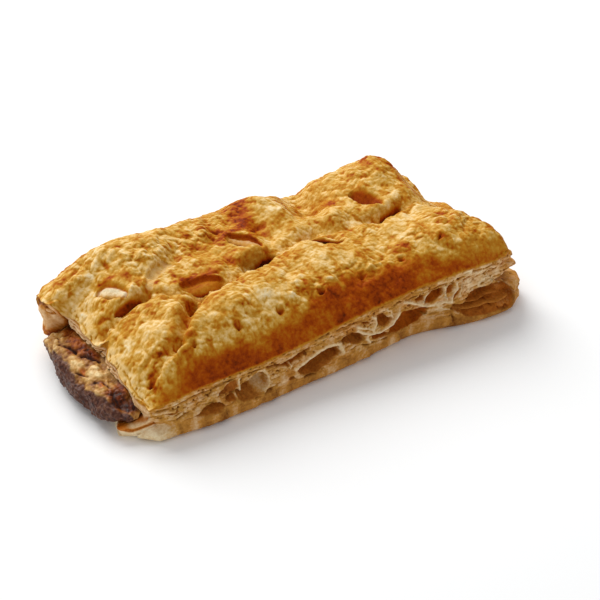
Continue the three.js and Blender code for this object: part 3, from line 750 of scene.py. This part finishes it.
def swell(piece, amount):
    """Move each point along its normal by an amount in millimetres."""
    mesh = piece.data
    spots = np.empty(len(mesh.vertices) * 3, np.float32)
    normals = np.empty_like(spots)
    mesh.vertices.foreach_get("co", spots)
    mesh.vertex_normals.foreach_get("vector", normals)
    spots += normals * np.repeat(amount, 3) / 1000
    mesh.vertices.foreach_set("co", spots)
    mesh.update()


def carve(piece, cutter):
    """Cut one piece out of another, and delete the cutter."""
    cut = piece.modifiers.new("cut", "BOOLEAN")
    cut.operation, cut.solver, cut.object = "DIFFERENCE", "MANIFOLD", cutter
    carved = bpy.data.meshes.new_from_object(piece.evaluated_get(bpy.context.evaluated_depsgraph_get()))
    carved.materials.clear()
    piece.modifiers.clear()
    piece.data = carved
    bpy.data.objects.remove(cutter)
    fill_new_points(carved)


def fill_new_points(mesh):
    """Give the points that a cut has made the mean masks of their neighbours."""
    known = read_mask(mesh, "known") > 0.5
    ends = np.empty(len(mesh.edges) * 2, np.int64)
    mesh.edges.foreach_get("vertices", ends)
    a, b = ends.reshape(-1, 2).T
    for key in [layer.name for layer in mesh.attributes if layer.data_type == "FLOAT"]:
        values = read_mask(mesh, key)
        total, count = np.zeros_like(values), np.zeros_like(values)
        for here, there in ((a, b), (b, a)):
            ok = known[there]
            np.add.at(total, here[ok], values[there[ok]])
            np.add.at(count, here[ok], 1)
        values[~known] = (total / np.maximum(count, 1))[~known]
        mesh.attributes[key].data.foreach_set("value", values)


def read_mask(mesh, key):
    values = np.empty(len(mesh.vertices), np.float32)
    mesh.attributes[key].data.foreach_get("value", values)
    return values


# The pieces.

def crust_bake(x, y, above_rim):
    """How brown the crust is, and how much a point is on the dark front slope."""
    spots = rise(noise(x, y, 0, 3.4, 55) + 0.5 * noise(x, y, 0, 1.6, 56), -0.1, 0.7)
    bake = PLAIN_BAKE + 0.1 * layered_noise(x, y, 0, 9, 51) + 0.21 * spots
    along, edges, softness = np.transpose(SLOPE_EDGE)
    edge, soft = np.interp(x, along, edges), np.interp(x, along, softness)
    wander = 1.6 * noise(x, y, 0, 9, 57) + 1.1 * noise(x, y, 0, 3.6, 59)
    slope = rise(edge - y + wander, -soft, soft)
    dark = SLOPE_BAKE + 0.11 * rise(edge - y, 0.5, 4) - 0.08 * rise(x, 10, 50) - 0.14 * rise(-x, 48, 66)
    dark += 0.09 * noise(x, y, 0, 11, 58) + 0.08 * noise(x, y, 0, 4, 60)
    # The spots add real browning, painted shade and painted highlights.
    bake = lerp(bake, dark, slope) + soft_spots(x, y, BROWNING_AND_PAINTED_LIGHT)
    return lerp(np.minimum(bake, RIM_BAKE), bake, rise(above_rim, 0, 0.6)), slope


def crust_relief(x, y, z, smooth):
    """The crust's small lumps, wrinkles and loose skin, in millimetres."""
    rough = 0.62 + 0.35 * noise(x, y, 0, 15, 6) + soft_spots(x, y, ROUGH)
    rough = np.clip(rough, 0.2, 1.5) * (1 - 0.6 * smooth)
    lumps = 0.7 * (puffs(x, y, z, 7, 3) - 0.5) + 0.26 * (puffs(x, y, z, 3.4, 4) - 0.5)
    pucker = 0.12 * (puffs(x, y, z, 1.9, 5) - 0.5)
    skin = 0.16 * flakes(x, y, z, 8, 9) - 0.1 * flakes(x, y, z, 3.6, 15)
    fine = 0.1 * noise(x, y, z, 1.5, 18) + 0.05 * noise(x, y, z, 0.8, 19)
    broad = 0.42 * noise(x, y, z, 10, 20)
    return rough * (lumps + pucker + skin) + fine * (1 - 0.5 * smooth) + broad


def shaded_fronts(x, y, z, smooth):
    """How steeply the small relief climbs away from the front left; steep parts, which face away from the
    light, are browner as painted shade.
    """
    step = 0.5
    climb = crust_relief(x + 0.5 * step, y + 0.85 * step, z, smooth) - crust_relief(x, y, z, smooth)
    return np.clip(climb / step, -0.5, 0.8)


def left_band(x, y):
    """The pale porous band along the crust's left edge, and the thin lines and pores in it."""
    wander = 0.6 * noise(x, y, 0, 4, 66) + 0.2 * noise(x, y, 0, 1.2, 67)
    inset = x - LEFT_END + wander
    lines = bell((inset - 1) / 0.2) * rise(noise(x, y, 0, 4, 69), -0.3, 0.2) + pores(x, y, 0.9, 68)
    return (1 - rise(inset, 1.8, 3)) * (1 - rise(y, 18, 21)), clip01(lines)


def dress_crust(x, y, z, above_rim):
    """The crust's relief, how far it is cut down, its bake, its share of dough and how light that is."""
    cut, brown, dough, light, inside = slash_relief(x, y)
    dents, hole, halo = dent_relief(x, y)
    scar = scar_mask(x, y)
    bake, slope = crust_bake(x, y, above_rim)
    smooth = np.maximum(np.maximum(0.75 * slope, 0.8 * scar), 0.9 * inside)
    bumps = crust_relief(x, y, z, smooth)
    creases = 1.2 - puffs(x, y, z, 3.4, 4) - puffs(x, y, z, 1.9, 5)
    # Painted shade: browner on the small faces turned away from the light and in the creases between the
    # puffs.
    bake += (1 - 0.7 * smooth) * (0.4 * shaded_fronts(x, y, z, smooth) + 0.08 * creases)
    for up, wide, line in RIDGES:
        ridge = bell(off_line(x, y, line) / wide)
        bumps += up * ridge * rise(noise(x, y, 0, 3, 39), -0.6, 0.2)
        # Painted light: the ridges' crests are paler.
        bake -= 0.1 * ridge
    bake = np.minimum(bake + 0.26 * halo * (1 - 0.7 * slope), MOST_BAKE)
    band, lines = left_band(x, y)
    bumps -= 0.35 * lines * band
    # Painted shade: the band is darker in its thin lines and pores.
    bake = lerp(bake, 0.2 + 0.36 * lines, 0.8 * band)
    # The dents' holes are darkened: browning, with painted shade down in them.
    bake = lerp(bake, np.maximum(bake, DENT_BAKE), hole)
    bake = lerp(bake, brown, inside)
    light = np.where(scar > dough, SCAR_LIGHT, light)
    return bumps, cut + dents + 0.35 * scar, bake, np.maximum(dough, 0.5 * scar), light


def dress_cut_sides(side, x, y, z, s, below, masks):
    """Move the points of the cut sides out by their relief, and set their masks."""
    front, left, right = (side == name for name in ("front", "left", "right"))
    sides = (
        (front, y, -1, front_details(x[front], z[front], s[front])),
        (left, x, -1, left_details(x[left], y[left], z[left], below[left])),
        (right, x, 1, right_details(x[right], y[right], z[right])),
    )
    for at, across, way, (out, light, warm) in sides:
        across[at] += way * out * rise(s[at], 0, 0.04) * (1 - rise(s[at], 0.97, 1))
        masks["light"][at], masks["warm"][at] = light, warm
        masks["leafy"][at] = rise(below[at], 0.1, 1.0)


def make_pastry():
    spots, quads, side = block_grid(PASTRY_GRID, ("top", "front", "back", "left", "right"))
    u, v, w = spots.T
    x, y, z = pastry_place(u, v, w)
    s = (w + 1) / 2
    below = rim_height(x, y) - z
    masks = {"bake": RIM_BAKE, "leafy": 0.0, "light": 0.8, "warm": 0.0, "known": 1.0}
    masks = {name: np.full_like(x, value) for name, value in masks.items()}
    relief = np.zeros_like(x)

    at = side == "top"
    relief[at], cut, bake, dough, light = dress_crust(x[at], y[at], z[at], -below[at])
    masks["bake"][at], masks["leafy"][at], masks["light"][at] = bake, dough, light
    z[at] -= cut
    at = side == "back"
    relief[at], masks["bake"][at] = back_details(x[at], y[at], z[at], s[at])
    dress_cut_sides(side, x, y, z, s, below, masks)

    faces = quads.tolist() + [base_ring(u, v, w)]
    pastry = make_mesh("pastry_leaves", np.stack([x, y, z], 1), faces, masks)
    swell(pastry, relief)
    carve(pastry, make_channel())
    return pastry


def make_channel():
    """The space for the meat, open at the right end."""
    spots, quads, _ = block_grid(CHANNEL_GRID, FACES)
    u, v, w = spots.T
    x, y, z = meat_place(u, v, w, GAP)
    x += 15 * rise(x, 50, MEAT_RIGHT + GAP)
    crumb = layered_noise(x, y, z, 4, 71)
    z += w * 0.35 * (1 + crumb)
    open_end = rise(x, 69, 73)
    light = lerp(0.4 + 0.1 * crumb, 0.6 + 0.2 * crumb, open_end)
    masks = {"bake": 0.5, "leafy": 1.0, "light": light, "warm": lerp(0.8, 0.4, open_end), "known": 1.0}
    return make_mesh("channel", np.stack([x, y, z], 1), quads.tolist(), masks)


def meat_scorch(x, y, z, w, tongue):
    """How scorched the meat is round its outer edge and under it."""
    edge = np.interp(y, *np.transpose(SCORCH_EDGE))
    scorch = rise(edge - x + 0.9 * noise(x, y, z, 3, 85), -0.4, 0.7)
    return np.maximum(scorch, rise(-w, -0.5, 0.3) * tongue * rise(-x, 76, 78))


def meat_details(x, y, z, w):
    """The meat's relief in millimetres and its masks."""
    tongue = 1 - rise(x, -74, -70)
    wx, wy = x + 0.8 * noise(x, y, z, 4, 96), y + 0.8 * noise(x, y, z, 4, 97)
    crumb = layered_noise(x, y, z, 3, 81)
    tone = 0.5 + 0.3 * crumb
    relief = tongue * (0.5 * crumb + 0.3 * noise(x, y, z, 1, 88)) - 0.1
    rust = np.zeros_like(x)
    for px, py, more, up, long, wide, rusty in MEAT_PATCHES:
        patch = bell(off_spot(wx, wy, px, py, long, wide) ** 2) * rise(w, 0.2, 0.8)
        tone += more * patch
        relief += up * patch
        rust = np.maximum(rust, rusty * patch)
    broken = rise(w, 0.5, 0.9) * rise(noise(x, y, z, 3, 98), -0.6, 0.2)
    for depth, wide, line in MEAT_CRACKS:
        crack = bell(off_line(wx, wy, line) / wide) * broken
        relief -= depth * crack
        # Painted shade: the meat is darker in its cracks.
        tone -= 0.6 * crack
    return relief, {"scorch": meat_scorch(x, y, z, w, tongue), "rust": rust, "tone": tone}


def make_meat():
    spots, quads, _ = block_grid(MEAT_GRID, FACES)
    u, v, w = spots.T
    u = np.where(u < 0, -(np.abs(u) ** 0.7), u)
    x, y, z = meat_place(u, v, w, 0)
    relief, masks = meat_details(x, y, z, w)
    meat = make_mesh("sausage_filling", np.stack([x, y, z], 1), quads.tolist(), masks)
    swell(meat, relief)
    return meat


# Materials.

def new_material(name):
    material = bpy.data.materials.new(name)
    material.use_nodes = True
    tree = material.node_tree
    return material, tree, tree.nodes["Principled BSDF"]


def linear(value):
    """A screen value of 0 to 255 as a linear one."""
    value /= 255
    return value / 12.92 if value <= 0.04045 else ((value + 0.055) / 1.055) ** 2.4


def plug(tree, socket, value):
    """Set a socket to a value, or link it to another socket."""
    if isinstance(value, bpy.types.NodeSocket):
        tree.links.new(value, socket)
    else:
        socket.default_value = value


def add(tree, kind, **settings):
    node = tree.nodes.new("ShaderNode" + kind)
    for key, value in settings.items():
        if key in node.inputs:
            plug(tree, node.inputs[key], value)
        else:
            setattr(node, key, value)
    return node


def mask_node(tree, key):
    return add(tree, "Attribute", attribute_name=key).outputs["Fac"]


def noise_node(tree, size, detail=3.0):
    """Noise with features of a size in millimetres."""
    place = add(tree, "TexCoord").outputs["Object"]
    node = add(tree, "TexNoise", Vector=place, Scale=1000 / size, Detail=detail, Roughness=0.6)
    return node.outputs["Fac"]


def ramp_node(tree, source, stops):
    """A colour for a value, from stops."""
    node = add(tree, "ValToRGB", Fac=source)
    elements = node.color_ramp.elements
    while len(elements) < len(stops):
        elements.new(0.5)
    for element, (at, *colour) in zip(elements, stops):
        element.position = at
        element.color = (*map(linear, colour), 1)
    return node.outputs["Color"]


def math_node(tree, operation, a, b, clamp=False):
    node = add(tree, "Math", operation=operation, use_clamp=clamp)
    plug(tree, node.inputs[0], a)
    plug(tree, node.inputs[1], b)
    return node.outputs[0]


def mix_node(tree, factor, a, b):
    node = add(tree, "Mix", data_type="RGBA")
    for index, value in ((0, factor), (6, a), (7, b)):
        plug(tree, node.inputs[index], value)
    return node.outputs[2]


def varied(tree, source, size, amount, detail=3.0):
    """A value with noise of a size added to it."""
    swing = math_node(tree, "SUBTRACT", noise_node(tree, size, detail), 0.5)
    swing = math_node(tree, "MULTIPLY", swing, amount)
    return math_node(tree, "ADD", source, swing, clamp=True)


def toasted_node(tree, share, tone, colours):
    """A colour for a tone, which turns to the toast colours by a share."""
    return mix_node(tree, share, ramp_node(tree, tone, colours), ramp_node(tree, tone, TOAST_COLOURS))


CRUST_COLOURS = [  # a place, then red, green and blue screen values
    (0.0, 244, 226, 188), (0.14, 238, 208, 152), (0.27, 227, 185, 112), (0.39, 208, 159, 69),
    (0.5, 193, 133, 36), (0.62, 180, 106, 14), (0.75, 166, 72, 1), (0.86, 142, 52, 1), (1.0, 62, 16, 1),
]
BEIGE_COLOURS = [(0.0, 60, 30, 8), (0.3, 134, 84, 28), (0.6, 198, 146, 66), (1.0, 250, 234, 196)]
TOAST_COLOURS = [(0.0, 50, 14, 1), (0.3, 128, 52, 4), (0.6, 188, 100, 20), (1.0, 236, 170, 92)]
MEAT_COLOURS = [(0.0, 58, 22, 6), (0.3, 138, 84, 30), (0.6, 194, 144, 74), (1.0, 242, 214, 156)]
CHAR_COLOURS = [(0.3, 44, 20, 12), (0.5, 86, 46, 32), (0.75, 128, 88, 66)]


def pastry_material():
    material, tree, surface = new_material("baked_pastry")
    bake = varied(tree, varied(tree, mask_node(tree, "bake"), 1.2, 0.4, 5), 4.5, 0.3)
    crust = ramp_node(tree, bake, CRUST_COLOURS)
    light = varied(tree, mask_node(tree, "light"), 0.9, 0.45)
    leaves = toasted_node(tree, mask_node(tree, "warm"), light, BEIGE_COLOURS)
    colour = mix_node(tree, mask_node(tree, "leafy"), crust, leaves)
    coat(tree, surface, colour, roughness=0.5, gloss=0.05)
    add_grain(tree, surface)
    return material


def meat_material():
    material, tree, surface = new_material("baked_meat")
    tone = varied(tree, mask_node(tree, "tone"), 1.2, 0.6)
    meat = toasted_node(tree, mask_node(tree, "rust"), tone, MEAT_COLOURS)
    char = ramp_node(tree, noise_node(tree, 1.3, 4), CHAR_COLOURS)
    colour = mix_node(tree, varied(tree, mask_node(tree, "scorch"), 1.0, 0.4), meat, char)
    coat(tree, surface, colour, roughness=0.4, gloss=0.2)
    add_grain(tree, surface)
    return material


def coat(tree, surface, colour, roughness, gloss):
    for key, value in (("Base Color", colour), ("Roughness", roughness), ("Specular IOR Level", gloss)):
        plug(tree, surface.inputs[key], value)


def add_grain(tree, surface):
    """The grain of a baked surface, which is too fine for its mesh."""
    grain = math_node(tree, "ADD", noise_node(tree, 0.9, 4), noise_node(tree, 0.35, 2))
    bump = add(tree, "Bump", Strength=0.4, Distance=0.00025, Height=grain)
    plug(tree, surface.inputs["Normal"], bump.outputs["Normal"])


# The studio.

AZIMUTH, ELEVATION, DISTANCE = -31.5, 36.0, 0.7
AIM = (0, 0, 15)
PICTURE_SIZE, FOCAL_PIXELS, PICTURE_CENTRE = 600, 2008.0, (280.58, 283.24)
SENSOR = 36.0
KEY_PLACE, KEY_SIZE, KEY_POWER, KEY_COLOUR = (-0.05, 0.88, 0.88), 1.1, 14.9, (1.0, 0.995, 0.98)
SKY_COLOUR, SKY_STRENGTH = (0.97, 0.985, 1.0, 1), 0.57
FLOOR_HALF = 3.0
FLOOR_TONES = [(0.0, 250.5, 250.5, 250.5), (1.0, 253.9, 253.9, 253.9)]


def make_camera():
    a, e = np.radians(AZIMUTH), np.radians(ELEVATION)
    back = Vector((np.sin(a) * np.cos(e), -np.cos(a) * np.cos(e), np.sin(e)))
    right = Vector((np.cos(a), np.sin(a), 0))
    turn = Matrix((right, back.cross(right), back)).transposed().to_4x4()
    turn.translation = Vector(to_frame(AIM)) + back * DISTANCE
    data = bpy.data.cameras.new("camera")
    data.sensor_width, data.lens = SENSOR, SENSOR * FOCAL_PIXELS / PICTURE_SIZE
    data.shift_x = 0.5 - PICTURE_CENTRE[0] / PICTURE_SIZE
    data.shift_y = PICTURE_CENTRE[1] / PICTURE_SIZE - 0.5
    camera = place_object("camera", data)
    camera.matrix_world = turn
    bpy.context.scene.camera = camera


def make_light():
    data = bpy.data.lights.new("key", "AREA")
    data.shape, data.size, data.energy, data.color = "DISK", KEY_SIZE, KEY_POWER, KEY_COLOUR
    light = place_object("key", data)
    light.location = KEY_PLACE
    light.rotation_euler = (-Vector(KEY_PLACE)).to_track_quat("-Z", "Y").to_euler()


def make_sky():
    world = bpy.data.worlds.new("studio")
    world.use_nodes = True
    inputs = world.node_tree.nodes["Background"].inputs
    inputs["Color"].default_value = SKY_COLOUR
    inputs["Strength"].default_value = SKY_STRENGTH
    bpy.context.scene.world = world
    bpy.context.scene.view_settings.view_transform = "Standard"


def make_floor():
    corners = [(-1, -1), (1, -1), (1, 1), (-1, 1)]
    mesh = bpy.data.meshes.new("floor")
    mesh.from_pydata([(FLOOR_HALF * x, FLOOR_HALF * y, 0) for x, y in corners], [], [(0, 1, 2, 3)])
    material, tree, surface = new_material("pale_floor")
    tone = ramp_node(tree, noise_node(tree, 300, 2), FLOOR_TONES)
    coat(tree, surface, tone, roughness=0.9, gloss=0.0)
    mesh.materials.append(material)
    floor = place_object("floor", mesh)


def dress(piece, material, node):
    piece.data.materials.append(material)
    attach(piece, "root")
    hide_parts(node)


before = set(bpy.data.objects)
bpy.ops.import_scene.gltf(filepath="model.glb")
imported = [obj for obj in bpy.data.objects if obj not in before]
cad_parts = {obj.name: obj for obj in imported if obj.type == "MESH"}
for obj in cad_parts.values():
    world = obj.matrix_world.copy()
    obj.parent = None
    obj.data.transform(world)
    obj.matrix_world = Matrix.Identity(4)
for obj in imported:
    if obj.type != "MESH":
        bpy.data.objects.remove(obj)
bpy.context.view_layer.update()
make_camera()
make_light()
make_sky()
make_floor()
dress(make_pastry(), pastry_material(), "pastry")
dress(make_meat(), meat_material(), "sausage_meat")
